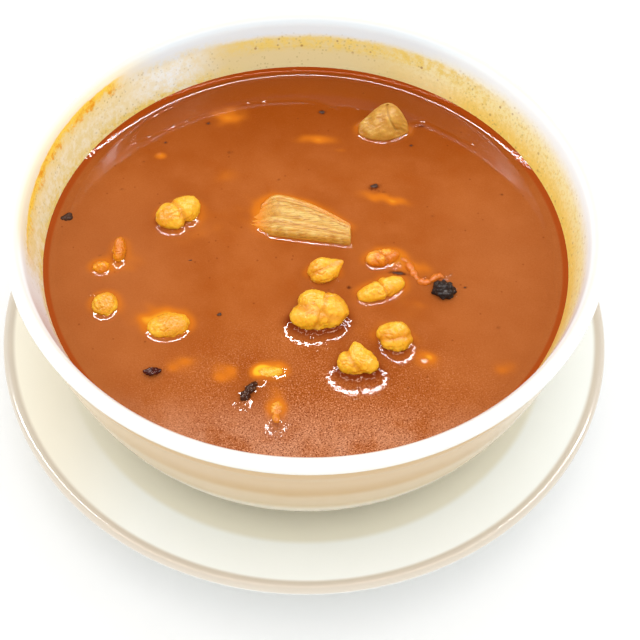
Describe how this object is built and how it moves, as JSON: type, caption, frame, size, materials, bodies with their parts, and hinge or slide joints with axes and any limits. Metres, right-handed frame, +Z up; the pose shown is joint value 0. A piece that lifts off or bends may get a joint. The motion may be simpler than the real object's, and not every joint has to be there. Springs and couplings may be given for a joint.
{
  "type": "bowl of menudo",
  "caption": "White soup bowl on an underplate, filled with red chile broth, with hominy, tripe and meat standing out of its surface.",
  "frame": {"origin": "on the table under the middle of the underplate's foot ring", "axes": "+Z up out of the bowl, -Y towards the diner, +X to the diner's right"},
  "size_m": [0.1914, 0.1914, 0.0742],
  "materials": {
    "plate_glaze": "white glazed porcelain, glossy",
    "bowl_glaze": "white glazed porcelain, glossy, stained with oil and chile round the inside above the broth",
    "broth": "wet, mirror smooth red chile broth with fine specks of chile and oil",
    "hominy": "wet, soft cooked maize kernel, golden with paler ragged folds",
    "tripe": "wet, ribbed cooked tripe, pale tan",
    "meat": "wet boiled meat, tan with a soft grain"
  },
  "bodies": {
    "root": {"plate": "plate_glaze", "bowl": "bowl_glaze", "broth": "broth", "hominy_large": "hominy", "hominy_finger": "hominy", "hominy_twin": "hominy", "hominy_thumb": "hominy", "hominy_right": "hominy", "hominy_left": "hominy", "hominy_wall": "hominy", "hominy_ragged": "hominy", "hominy_upright": "hominy", "hominy_nub": "hominy", "hominy_tip": "hominy", "hominy_end": "hominy", "tripe_strip": "tripe", "tripe_slab": "tripe", "meat_chunk": "meat"}
  },
  "joints": []
}
